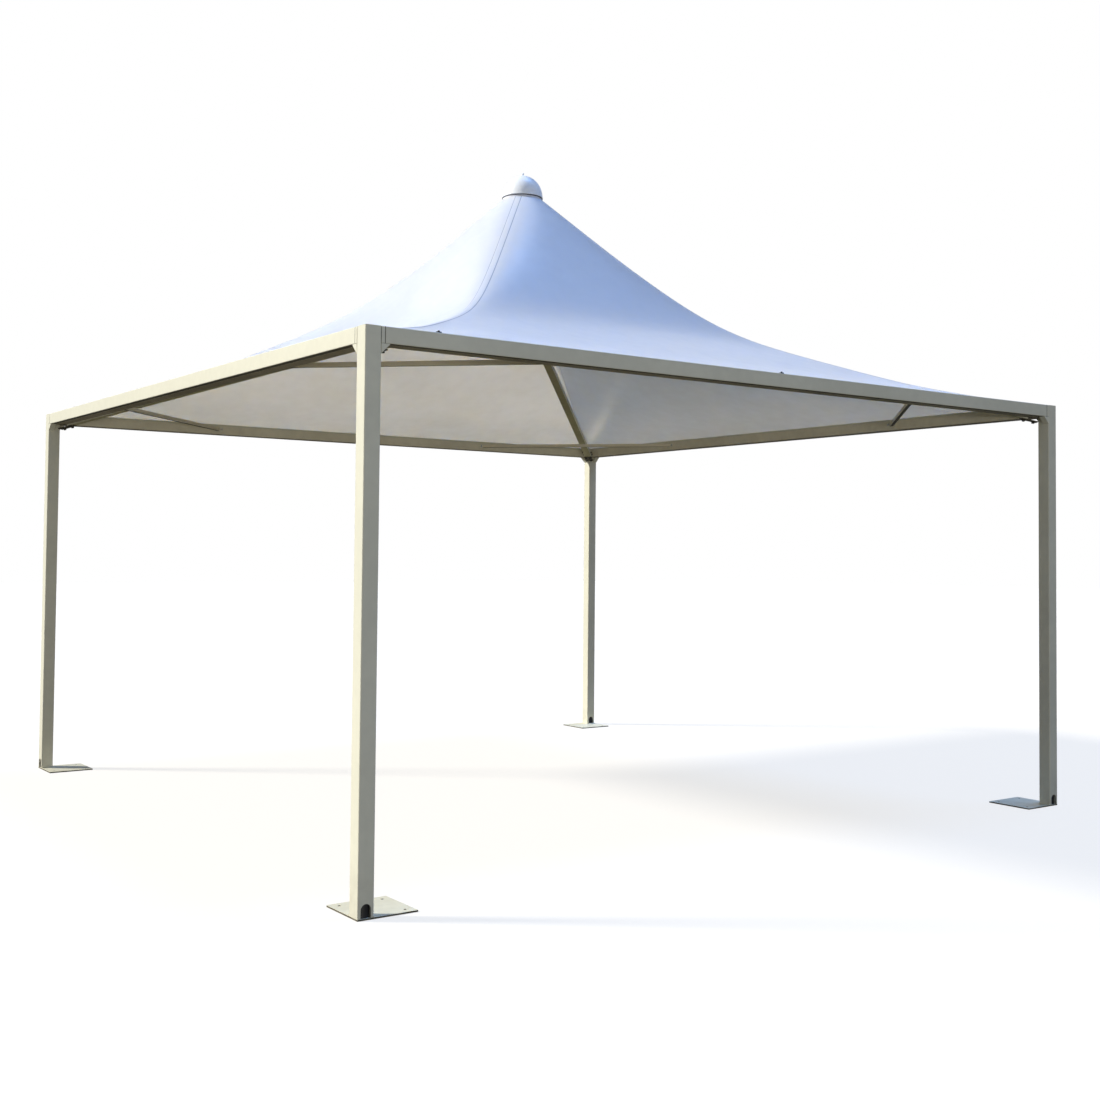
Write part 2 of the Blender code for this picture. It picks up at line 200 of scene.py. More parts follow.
def node_group(
    name: str,
    inputs: dict[str, str],
    outputs: dict[str, str],
) -> tuple[Wiring, dict[str, Socket], Node]:
    """Make an empty shader node group.

    Args:
        name: The group's name.
        inputs: The kinds of its inputs, by name.
        outputs: The kinds of its outputs, by name.

    Returns:
        The wiring of the group, its input sockets by name and its output node.
    """
    tree = bpy.data.node_groups.new(name, "ShaderNodeTree")
    for ports, direction in ((inputs, "INPUT"), (outputs, "OUTPUT")):
        for port, kind in ports.items():
            tree.interface.new_socket(port, in_out=direction, socket_type="NodeSocket" + kind)
    source = tree.nodes.new("NodeGroupInput")
    return Wiring(tree), {port: source.outputs[port] for port in inputs}, tree.nodes.new("NodeGroupOutput")


def rgba(colour: Triple, share: float = 1.0) -> Quad:
    """Return a colour with full alpha, darkened to a share of itself."""
    return (colour[0] * share, colour[1] * share, colour[2] * share, 1.0)


@dataclass
class Effects:
    """The node groups that several finishes use."""

    fine_clouds: float = 11.0
    fine_share: float = 0.3
    cloud_step: Pair = (0.32, 0.68)
    grain_ports: tuple[str, ...] = ("Pitch", "Height", "Waves", "Depth")
    relief_strength: float = 0.5
    speckle_scale: float = 14.0
    speckle_step: Pair = (0.35, 0.7)
    least_grime: float = 0.3
    upward_step: Pair = (0.5, 0.95)
    splash_top: float = 0.3

    def __post_init__(self) -> None:
        """Build the groups once."""
        self.drift = self._build_drift()
        self.grain = self._build_grain()
        self.grime = self._build_grime()

    def _build_drift(self) -> Tree:
        """Build soft cloudy changes of tone, and a value for roughness that goes with them.

        Returns:
            The group.
        """
        inputs = {"Place": "Vector", "Light": "Color", "Dark": "Color"}
        inputs |= dict.fromkeys(("Size", "Smooth", "Rough"), "Float")
        wiring, ports, out = node_group("tone_drift", inputs, {"Colour": "Color", "Roughness": "Float"})
        broad = wiring.noise(ports["Place"], ports["Size"], 3.0)
        fine = wiring.noise(ports["Place"], wiring.maths("MULTIPLY", ports["Size"], self.fine_clouds))
        broad_part = wiring.maths("MULTIPLY", broad, 1 - self.fine_share)
        clouds = wiring.maths("MULTIPLY_ADD", fine, self.fine_share, broad_part)
        share = wiring.ramp(clouds, *self.cloud_step)
        gap = wiring.maths("SUBTRACT", ports["Rough"], ports["Smooth"])
        rough = wiring.maths("MULTIPLY_ADD", share, gap, ports["Smooth"])
        wiring.feed(out, {"Colour": wiring.blend(share, ports["Light"], ports["Dark"]), "Roughness": rough})
        return wiring.tree

    def _build_grain(self) -> Tree:
        """Build the fine relief of sprayed paint or moulded plastic, with broad waviness under it.

        Returns:
            The group.
        """
        inputs = {"Place": "Vector", **dict.fromkeys(self.grain_ports, "Float")}
        wiring, ports, out = node_group("fine_grain", inputs, {"Normal": "Vector"})
        waves = wiring.noise(ports["Place"], ports["Waves"], 1.0)
        broad = wiring.bump(self.relief_strength, ports["Depth"], waves)
        peel = wiring.noise(ports["Place"], ports["Pitch"])
        wiring.feed(out, {"Normal": wiring.bump(self.relief_strength, ports["Height"], peel, Normal=broad)})
        return wiring.tree

    def _build_grime(self) -> Tree:
        """Build a mask of dust that settles on upper faces and of splashes near the ground.

        Returns:
            The group.
        """
        inputs = {"Place": "Vector", "Dust": "Float", "Splash": "Float"}
        wiring, ports, out = node_group("settled_grime", inputs, {"Mask": "Float"})
        upward = wiring.ramp(wiring.part(wiring.node("NewGeometry").outputs["Normal"], 2), *self.upward_step)
        low = wiring.ramp(wiring.part(ports["Place"], 2), self.splash_top, 0.0)
        patches = wiring.ramp(wiring.noise(ports["Place"], self.speckle_scale, 5.0), *self.speckle_step)
        dust = wiring.maths("MULTIPLY", upward, ports["Dust"])
        whole = wiring.maths("MULTIPLY_ADD", low, ports["Splash"], dust)
        share = wiring.maths("MULTIPLY_ADD", patches, 1 - self.least_grime, self.least_grime)
        wiring.feed(out, {"Mask": wiring.maths("MULTIPLY", whole, share)})
        return wiring.tree

    def relief(self, wiring: Wiring, place: Socket, grain: Quad) -> Socket:
        """Place the grain group with its pitch, height, waves and depth, and return its normal."""
        values = dict(zip(self.grain_ports, grain))
        return wiring.group(self.grain, Place=place, **values).outputs["Normal"]


@cache
def effects() -> Effects:
    """Return the shared node groups, which are built at the first call."""
    return Effects()


# Finishes


@dataclass(frozen=True)
class Finish:
    """A surface whose tone and roughness drift softly over it.

    Its darkest tone is a share of the dark colour, or of its own colour where it has no dark one.
    """

    name: str
    colour: Triple
    dark: Triple | None = None
    shade: float = 1.0
    smooth: float = 0.34
    rough: float = 0.5
    clouds: float = 1.7

    @cache
    def material(self) -> Material:
        """Make the material at the first call.

        Returns:
            The material.
        """
        made = bpy.data.materials.new(self.name)
        made.use_nodes = True
        wiring = Wiring(made.node_tree)
        place = wiring.place()
        drift = wiring.group(
            effects().drift,
            Place=place,
            Light=rgba(self.colour),
            Dark=rgba(self.dark or self.colour, self.shade),
            Size=self.clouds,
            Smooth=self.smooth,
            Rough=self.rough,
        )
        inputs = {"Base Color": drift.outputs["Colour"], "Roughness": drift.outputs["Roughness"]}
        inputs |= self.detail(wiring, place, drift.outputs["Colour"])
        wiring.feed(made.node_tree.nodes["Principled BSDF"], inputs)
        return made

    def detail(self, wiring: Wiring, place: Socket, colour: Socket) -> Inputs:
        """Return what the shader gets besides the drift."""
        return {}


@dataclass(frozen=True)
class PaintFinish(Finish):
    """Satin powder coat on steel, with the dust and the splashes that settle on it."""

    shade: float = 0.9
    grain: Quad = (520.0, 0.00012, 3.0, 0.0012)
    specular: float = 0.45
    dirt: Triple = (0.36, 0.32, 0.25)
    dust: float = 0.14
    splash: float = 0.3

    def detail(self, wiring: Wiring, place: Socket, colour: Socket) -> Inputs:
        """Return the colour under its grime, the relief and the specular level."""
        mask = wiring.group(effects().grime, Place=place, Dust=self.dust, Splash=self.splash).outputs["Mask"]
        return {
            "Base Color": wiring.blend(mask, colour, rgba(self.dirt)),
            "Normal": effects().relief(wiring, place, self.grain),
            "Specular IOR Level": self.specular,
        }


@dataclass(frozen=True)
class MetalFinish(Finish):
    """Zinc plated or dark steel of bolts and washers."""

    shade: float = 0.65
    smooth: float = 0.30
    clouds: float = 60.0
    metallic: float = 0.9

    def detail(self, wiring: Wiring, place: Socket, colour: Socket) -> Inputs:
        """Return how metallic it is."""
        return {"Metallic": self.metallic}


@dataclass(frozen=True)
class PlasticFinish(Finish):
    """Moulded plastic or rubber."""

    shade: float = 0.88
    smooth: float = 0.28
    rough: float = 0.42
    clouds: float = 9.0
    grain: Quad = (350.0, 0.0001, 12.0, 0.0004)

    def detail(self, wiring: Wiring, place: Socket, colour: Socket) -> Inputs:
        """Return the relief."""
        return {"Normal": effects().relief(wiring, place, self.grain)}


@dataclass(frozen=True)
class ClothFinish(Finish):
    """Coated roof cloth, whose UV map is in metres: across from the nearest hip, and up from the hem."""

    clouds: float = 0.9
    # Colour of the line along each hip band's edge: partly seam line, partly painted shadow of the band's
    # step.
    seam: Triple = (0.22, 0.26, 0.36)
    seam_strength: float = 0.85
    seam_width: float = 0.0045
    band_half: float = 0.021
    thread_scale: float = 230.0
    weave: Pair = (0.12, 0.0001)
    marks: Triple = (0.35, 0.006, 4.5)
    see_through: float = 0.8
    depth: float = 0.006
    depth_tint: Triple = (1.0, 0.87, 0.68)

    def detail(self, wiring: Wiring, place: Socket, colour: Socket) -> Inputs:
        """Return the colour with painted dark lines at the hip bands' edges, the relief, and how far light
        goes through.

        Args:
            wiring: The material's wiring.
            place: The object coordinates.
            colour: The drifting colour.

        Returns:
            The shader's inputs.
        """
        flat = wiring.node("UVMap", uv_map="cloth").outputs[0]
        # Dark line along each hip band's edge: partly the seam line, partly painted shadow of the band's
        # step.
        off = wiring.maths("ABSOLUTE", wiring.maths("SUBTRACT", wiring.part(flat, 0), self.band_half))
        line = wiring.maths("MULTIPLY", wiring.ramp(off, self.seam_width, 0.0), self.seam_strength)
        strength, distance, scale = self.marks
        marks = wiring.bump(strength, distance, wiring.noise(place, scale, 3.0))
        inputs = {"Vector": flat, "Scale": self.thread_scale}
        threads = [wiring.node("TexWave", inputs, bands_direction=way).outputs["Fac"] for way in "XY"]
        return {
            "Base Color": wiring.blend(line, colour, rgba(self.seam)),
            "Normal": wiring.bump(*self.weave, wiring.maths("ADD", *threads), Normal=marks),
            "Subsurface Weight": self.see_through,
            "Subsurface Scale": self.depth,
            "Subsurface Radius": self.depth_tint,
        }


class Look(Enum):
    """The finishes of the gazebo's pieces."""

    PAINT = PaintFinish("cream_paint", (0.83, 0.815, 0.665))
    PLATE_PAINT = PaintFinish("plate_paint", (0.78, 0.755, 0.58), dust=0.05, splash=0.05)
    # A lighter, yellower copy of the cream paint: painted warm bounce light on the gutters' shaded inner
    # faces, with dust on upward faces.
    GUTTER_PAINT = PaintFinish("gutter_paint", (0.93, 0.88, 0.70), shade=0.84, dust=0.35)
    # Near-black painted shade for down-facing faces, plate edges and rafter soles; also the dark line in the
    # beams' joint grooves.
    UNDERSIDE = PaintFinish("dull_underside", (0.10, 0.085, 0.05), shade=0.7, smooth=0.5, rough=0.65)
    # Dark brown painted shade for the gutters' undersides.
    GUTTER_BASE = PaintFinish("gutter_base", (0.42, 0.37, 0.25), shade=0.7, smooth=0.5, rough=0.65)
    # Olive painted shade for the rafters' undersides.
    RAFTER_BASE = PaintFinish("rafter_base", (0.58, 0.54, 0.30), shade=0.8, smooth=0.5, rough=0.65)
    # A tan copy of the cream paint: painted warm shade and bounce light on the braces.
    BRACE_PAINT = PaintFinish("brace_paint", (0.84, 0.77, 0.59))
    ZINC = MetalFinish("zinc_plate", (0.62, 0.62, 0.6))
    DARK_STEEL = MetalFinish("dark_steel", (0.12, 0.115, 0.105), smooth=0.42, rough=0.62)
    CAP = PlasticFinish("cap_plastic", (0.95, 0.98, 1.0), shade=0.96)
    RUBBER = PlasticFinish("seal_rubber", (0.05, 0.055, 0.075), smooth=0.5, rough=0.7)
    BINDING = PlasticFinish("cloth_binding", (0.78, 0.80, 0.86), smooth=0.5, rough=0.7)
    BLACK = PlasticFinish("black_plastic", (0.03, 0.03, 0.032), smooth=0.35)
    CLOTH = ClothFinish("roof_cloth", (0.77, 0.785, 0.81), (0.73, 0.75, 0.79), seam=(0.22, 0.26, 0.36))
    # The cloth's underside: a brighter, warmer copy of the cloth, painted warm light under the roof.
    LINING = ClothFinish(
        "roof_lining", (0.87, 0.85, 0.82), (0.80, 0.775, 0.73), rough=0.6, seam=(0.66, 0.64, 0.60)
    )


# Mesh work


def cad_copy(node: str) -> Mesh:
    """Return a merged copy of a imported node's mesh, with its flat faces whole.

    Args:
        node: The node's name.

    Returns:
        The working mesh.
    """
    work = bmesh.new()
    work.from_mesh(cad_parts[node].data)
    bmesh.ops.remove_doubles(work, verts=work.verts, dist=MERGE_DISTANCE)
    bmesh.ops.dissolve_limit(work, angle_limit=FLAT_ANGLE, verts=work.verts, edges=work.edges)
    return work


def soften(work: Mesh, edges: Iterable[Edge], width: float, segments: int = 2, clamp: bool = False) -> None:
    """Bevel edges.

    Args:
        work: The working mesh.
        edges: The edges.
        width: The width of the bevel along each face.
        segments: Its number of steps.
        clamp: Whether it stops where it would meet another one.
    """
    bmesh.ops.bevel(
        work,
        geom=list(edges),
        offset=width,
        affect="EDGES",
        segments=segments,
        profile=0.5,
        material=-1,
        clamp_overlap=clamp,
    )


def edges_at(verts: Iterable[Vert]) -> Iterable[Edge]:
    """Return the edges that end at any of the vertices, each once and always in the same order."""
    return dict.fromkeys(edge for vert in verts for edge in vert.link_edges)


def round_edges(work: Mesh, choose: Callable[[Edge], bool], radius: float, segments: int = 3) -> None:
    """Bevel the edges that a test chooses in a number of steps, by a width along each face."""
    chosen = [edge for edge in work.edges if len(edge.link_faces) == 2 and choose(edge)]
    soften(work, chosen, radius, segments, clamp=True)


def sharp_outer_edge(edge: Edge) -> bool:
    """Tell whether an edge is a sharp outer one."""
    return edge.is_convex and edge.calc_face_angle() > SQUARE_ANGLE


def long_outer_edge(edge: Edge) -> bool:
    """Tell whether an edge is a long corner edge on the outside of a bar."""
    return edge.calc_length() > LONG_EDGE and sharp_outer_edge(edge)


def upright_outer_edge(edge: Edge) -> bool:
    """Tell whether an edge is a sharp outer one that stands upright."""
    first, second = (vert.co.xy for vert in edge.verts)
    return (first - second).length < MERGE_DISTANCE and sharp_outer_edge(edge)


def is_underside(face: Face) -> bool:
    """Tell whether a face looks down."""
    return face.normal.z < -LEVEL_NORMAL


def is_upright(face: Face) -> bool:
    """Tell whether a face stands upright, as a plate's cut edges and the walls of its holes do."""
    return abs(face.normal.z) < UPRIGHT_NORMAL


def mark_faces(work: Mesh, choose: Callable[[Face], bool]) -> None:
    """Give the faces that a test chooses the second of a piece's looks."""
    for face in filter(choose, work.faces):
        face.material_index = 1


def smooth_step(value: float, start: float, end: float) -> float:
    """Return a soft step from 0 at the start to 1 at the end."""
    share = min(max((value - start) / (end - start), 0.0), 1.0)
    return share * share * (3 - 2 * share)


def pointing(direction: Vector) -> Matrix:
    """Return the turn that carries +Z to a direction."""
    return direction.to_track_quat("Z", "Y").to_matrix().to_4x4()


def add_rod(
    work: Mesh,
    start: Triple,
    direction: Triple,
    length: float,
    radius: float,
    segments: int = 24,
    end_radius: float | None = None,
) -> list[Vert]:
    """Add a closed rod or cone.

    Args:
        work: The working mesh.
        start: The middle of its first end.
        direction: The way it points.
        length: Its length.
        radius: Its radius at the start.
        segments: Its number of sides.
        end_radius: Its radius at the end, where that differs.

    Returns:
        Its vertices.
    """
    up = Matrix.Translation((0, 0, length / 2))
    made = bmesh.ops.create_cone(
        work,
        cap_ends=True,
        segments=segments,
        radius1=radius,
        radius2=radius if end_radius is None else end_radius,
        depth=length,
        matrix=Matrix.Translation(start) @ pointing(Vector(direction)) @ up,
    )
    return made["verts"]


def add_box(work: Mesh, low: Triple, high: Triple, radius: float = 0.0008) -> None:
    """Add a box with softened edges.

    Args:
        work: The working mesh.
        low: Its lowest corner.
        high: Its highest corner.
        radius: The width of the bevel on its edges.
    """
    size = Vector(high) - Vector(low)
    matrix = Matrix.Translation((Vector(low) + Vector(high)) / 2) @ Matrix.Diagonal((*size, 1.0))
    made = bmesh.ops.create_cube(work, size=1.0, matrix=matrix)
    soften(work, edges_at(made["verts"]), radius)


def add_mirrored(work: Mesh) -> None:
    """Add the mirror image of a mesh across the upright plane where X equals Y.

    Args:
        work: The working mesh.
    """
    made = bmesh.ops.duplicate(work, geom=work.verts[:] + work.edges[:] + work.faces[:])["geom"]
    verts = [item for item in made if isinstance(item, Vert)]
    bmesh.ops.transform(work, matrix=SWAP_XY, verts=verts)
    bmesh.ops.reverse_faces(work, faces=[item for item in made if isinstance(item, Face)])


def spin_round(work: Mesh, steps: int) -> None:
    """Spin everything in a mesh once round the upright axis, and point its faces outwards.

    Args:
        work: The working mesh.
        steps: The number of steps round.
    """
    around = {"axis": (0, 0, 1), "cent": (0, 0, 0), "angle": 2 * math.pi, "steps": steps}
    bmesh.ops.spin(work, geom=work.verts[:] + work.edges[:], use_merge=True, **around)
    bmesh.ops.recalc_face_normals(work, faces=work.faces)


@dataclass(frozen=True)
class HexBolt:
    """A hexagon head or nut on a washer."""

    flats: float = 0.017
    head: float = 0.008
    washer_radius: float = 0.012
    washer: float = 0.002
    washer_bevel: float = 0.0004
    head_bevel: float = 0.0009

    def add(self, work: Mesh, start: Triple, direction: Triple) -> None:
        """Add the bolt.

        Args:
            work: The working mesh.
            start: The point on the surface under the washer.
            direction: The way out of the surface, of length 1.
        """
        seat = Vector(start) + Vector(direction) * self.washer
        washer = add_rod(work, start, direction, self.washer, self.washer_radius)
        head = add_rod(work, seat, direction, self.head, self.flats / math.sqrt(3), 6)
        soften(work, edges_at(washer), self.washer_bevel)
        soften(work, edges_at(head), self.head_bevel)


def stand(name: str, data: bpy.types.ID, matrix: Matrix = Matrix()) -> Object:
    """Add an object to the scene.

    Args:
        name: Its name.
        data: Its mesh, camera or light.
        matrix: Its place.

    Returns:
        The object.
    """
    made = bpy.data.objects.new(name, data)
    made.matrix_world = matrix
    bpy.context.scene.collection.objects.link(made)
    return made


def show(
    work: Mesh,
    name: str,
    looks: Sequence[Look],
    replaces: Sequence[str] = (),
    flat_faces: bool = True,
) -> Object:
    """Turn a working mesh into a finished piece that rides on the frame.

    Args:
        work: The working mesh, in place.
        name: The piece's name.
        looks: Its looks.
        replaces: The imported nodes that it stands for.
        flat_faces: Whether flat faces between rounded edges are shaded flat.

    Returns:
        The piece.
    """
    mesh = bpy.data.meshes.new(name)
    work.to_mesh(mesh)
    work.free()
    for look in looks:
        mesh.materials.append(look.value.material())
    mesh.shade_smooth()
    mesh.set_sharp_from_angle(angle=SHARP_ANGLE)
    piece = stand(name, mesh)
    if flat_faces:
        piece.modifiers.new("flat_faces", "WEIGHTED_NORMAL").keep_sharp = True
    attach(piece, BODY)
    if replaces:
        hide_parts(*replaces)
    LOG.info("%s has %d faces", name, len(mesh.polygons))
    return piece


def dress(
    node: str,
    name: str,
    looks: Sequence[Look],
    radius: float,
    segments: int = 3,
    choose: Callable[[Edge], bool] = long_outer_edge,
) -> None:
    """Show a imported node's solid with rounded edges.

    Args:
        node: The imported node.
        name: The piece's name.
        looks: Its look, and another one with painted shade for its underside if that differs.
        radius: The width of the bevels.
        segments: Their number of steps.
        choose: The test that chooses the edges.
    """
    work = cad_copy(node)
    round_edges(work, choose, radius, segments)
    # The second look, where given, paints shade on the down-facing faces.
    if len(looks) > 1:
        mark_faces(work, is_underside)
    show(work, name, looks, [node])


# Sub-assemblies


@dataclass
class Feet:
    """The foot plates and the weld beads that hold the posts on them."""

    corner_radius: float = 0.004
    edge_radius: float = 0.001
    bead_radius: float = 0.0045
    bead_sides: int = 12

    def build(self) -> None:
        """Build the feet at all corners."""
        for corner in Corner:
            self._plate(corner)
            self._beads(corner)

    def _plate(self, corner: Corner) -> None:
        """Build one plate from its solid, with rounded corners and softened edges.

        Args:
            corner: The plate's corner.
        """
        node = "foot_plate_" + corner.label
        work = cad_copy(node)
        round_edges(work, upright_outer_edge, self.corner_radius, 4)
        round_edges(work, sharp_outer_edge, self.edge_radius, 2)
        # The plate's cut edges and the walls of its holes take the painted shade.
        mark_faces(work, is_upright)
        show(work, "plate_" + corner.label, [Look.PLATE_PAINT, Look.UNDERSIDE], [node])

    def _beads(self, corner: Corner) -> None:
        """Build the two weld beads along a post's inner faces.

        Args:
            corner: The post's corner.
        """
        low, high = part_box("post_front_left")
        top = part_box("foot_plate_front_left")[1].z
        work = bmesh.new()
        for start, way in (((low.x, high.y, top), (1, 0, 0)), ((high.x, low.y, top), (0, 1, 0))):
            add_rod(work, start, way, high.x - low.x, self.bead_radius, self.bead_sides)
        work.transform(corner.turn)
        show(work, "foot_weld_" + corner.label, [Look.PLATE_PAINT])


@dataclass
class Posts:
    """The square tube posts, with rounded corners and a drain pipe inside."""

    radius: float = 0.006
    pipe: Triple = (0.034, 0.002, 0.16)
    pipe_rise: float = 0.0005
    pipe_sides: int = 40

    def build(self) -> None:
        """Build the four posts from their solids."""
        for corner in Corner:
            dress("post_" + corner.label, "post_tube_" + corner.label, [Look.PAINT], self.radius, 4)
            self._pipe(corner)

    def _pipe(self, corner: Corner) -> None:
        """Build the black drain pipe that shows through the opening at a post's foot.

        Args:
            corner: The post's corner.
        """
        low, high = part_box("post_front_left")
        radius, wall, height = self.pipe
        middle = Matrix.Translation(((low.x + high.x) / 2, (low.y + high.y) / 2, low.z + self.pipe_rise))
        work = bmesh.new()
        bmesh.ops.create_circle(work, segments=self.pipe_sides, radius=radius, matrix=middle)
        made = bmesh.ops.extrude_edge_only(work, edges=work.edges[:])
        raised = [item for item in made["geom"] if isinstance(item, Vert)]
        bmesh.ops.translate(work, verts=raised, vec=(0, 0, height))
        bmesh.ops.recalc_face_normals(work, faces=work.faces)
        bmesh.ops.solidify(work, geom=work.faces[:], thickness=wall)
        work.transform(corner.turn)
        show(work, "drain_pipe_" + corner.label, [Look.BLACK])


@dataclass
class TopFrame:
    """The beams, gutters, gussets and small fittings round the top of the posts."""

    beam_radius: float = 0.004
    fold_radius: float = 0.0012
    groove_inset: float = 0.018
    groove_width: float = 0.0036
    groove_depth: float = 0.0022
    cleat_places: tuple[float, ...] = (0.375, 2.53)
    cleat_inset: float = 0.013
    cleat_half: Pair = (0.012, 0.008)
    cleat_step: float = 0.0055
    cleat_dome: Pair = (0.0065, 0.0045)
    cleat_bevels: Pair = (0.0012, 0.001)
    rail: Pair = (0.012, 0.002)
    rail_radius: float = 0.0006

    def build(self) -> None:
        """Build all four sides and corners."""
        # Gutters: paint with painted bounce light, and painted shade underneath.
        looks = [Look.GUTTER_PAINT, Look.GUTTER_BASE]
        for side in Side:
            self._beam(side)
            dress("gutter_" + side.label, "gutter_channel_" + side.label, looks, self.fold_radius, 2)
            self._rail(side)
        for side in (Side.FRONT, Side.BACK):
            self._cleats(side)
        for first in Side:
            for second in Side:
                node = f"gusset_{first.label}_{second.label}"
                if (first.value - second.value) % 2:
                    dress(node, "corner_" + node, [Look.PAINT], self.fold_radius, 2, sharp_outer_edge)

    def _beam(self, side: Side) -> None:
        """Build one beam from its solid, with a fine joint groove near each end.

        Args:
            side: The beam's side.
        """
        node = "beam_" + side.label
        work = cad_copy(node)
        round_edges(work, long_outer_edge, self.beam_radius)
        work.transform(side.turn.inverted())
        low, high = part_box("beam_front")
        for end in (low.x + self.groove_inset, high.x - self.groove_inset):
            self._groove(work, end, low, high)
        work.transform(side.turn)
        # Down-facing faces take the painted shade.
        mark_faces(work, is_underside)
        show(work, "beam_tube_" + side.label, [Look.PAINT, Look.UNDERSIDE], [node])

    def _groove(self, work: Mesh, end: float, low: Vector, high: Vector) -> None:
        """Sink a thin groove round the outside of a beam that runs along X.

        Args:
            work: The beam's working mesh.
            end: The groove's place along X.
            low: The beam's lowest corner.
            high: The beam's highest corner.
        """
        middle = (low + high) / 2
        for offset in (-self.groove_width / 2, 0.0, self.groove_width / 2):
            geometry = work.verts[:] + work.edges[:] + work.faces[:]
            place = (end + offset, 0, 0)
            bmesh.ops.bisect_plane(work, geom=geometry, dist=TINY, plane_co=place, plane_no=(1, 0, 0))
        for vert in work.verts:
            if abs(vert.co.x - end) > self.groove_width / 8:
                continue
            for axis in (1, 2):
                reach = (high[axis] - low[axis]) / 2
                from_middle = vert.co[axis] - middle[axis]
                if abs(from_middle) > reach - self.beam_radius / 2:
                    vert.co[axis] -= math.copysign(self.groove_depth, from_middle)
        # The groove's faces take the second look, a dark joint line.
        mark_faces(work, lambda face: abs(face.calc_center_median().x - end) < self.groove_width / 2)

    def _rail(self, side: Side) -> None:
        """Build the slim rail that holds the cloth along the top of a gutter's inner face.

        Args:
            side: The gutter's side.
        """
        face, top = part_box("gutter_front")[1].yz
        height, depth = self.rail
        reach = -face - depth
        work = bmesh.new()
        add_box(work, (-reach, face + CLEARANCE, top - height), (reach, face + depth, top), self.rail_radius)
        work.transform(side.turn)
        show(work, "cloth_rail_" + side.label, [Look.PAINT])

    def _cleats(self, side: Side) -> None:
        """Build the small black cleats on top of a beam.

        Args:
            side: The beam's side.
        """
        low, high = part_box("beam_front")
        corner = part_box("post_front_left")[0].x
        half_x, half_y = self.cleat_half
        wide, narrow = self.cleat_dome
        box_bevel, dome_bevel = self.cleat_bevels
        y = low.y + self.cleat_inset
        step = high.z + self.cleat_step
        work = bmesh.new()
        for x in (corner + place for place in self.cleat_places):
            add_box(work, (x - half_x, y - half_y, high.z), (x + half_x, y + half_y, step), box_bevel)
            dome = add_rod(work, (x, y, step), (0, 0, 1), self.cleat_step, wide, 20, narrow)
            soften(work, edges_at(dome), dome_bevel)
        work.transform(side.turn)
        show(work, "beam_cleats_" + side.label, [Look.BLACK])


@dataclass
class Braces:
    """The level braces across the corners and the bolted tabs at their ends."""

    radius: float = 0.003
    tab: Triple = (0.08, 0.003, 0.038)
    bolt: HexBolt = HexBolt(flats=0.01, head=0.0055, washer_radius=0.0085, washer=0.0015)
    bolt_inset: float = 0.012

    def build(self) -> None:
        """Build the four braces."""
        # Braces: paint with painted warm bounce light, and painted shade underneath.
        looks = [Look.BRACE_PAINT, Look.UNDERSIDE]
        for corner in Corner:
            dress("brace_" + corner.label, "brace_tube_" + corner.label, looks, self.radius)
            self._tabs(corner)

    def _tabs(self, corner: Corner) -> None:
        """Build the tabs at both ends of a brace, where it meets two gutters.

        Args:
            corner: The brace's corner.
        """
        low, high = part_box("brace_front_left")
        width, thickness, height = self.tab
        x = high.x - (high.z - low.z) / math.sqrt(2)
        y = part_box("gutter_front")[1].y + CLEARANCE
        z = (low.z + high.z) / 2
        tabs = bmesh.new()
        bolts = bmesh.new()
        add_box(tabs, (x - width / 2, y, z - height / 2), (x + width / 2, y + thickness, z + height / 2))
        for offset in (self.bolt_inset - width / 2, width / 2 - self.bolt_inset):
            self.bolt.add(bolts, (x + offset, y + thickness, z), (0, 1, 0))
        for work, name, look in (
            (tabs, "brace_tabs_", Look.PAINT),
            (bolts, "brace_bolts_", Look.ZINC),
        ):
            add_mirrored(work)
            work.transform(corner.turn)
            show(work, name + corner.label, [look])


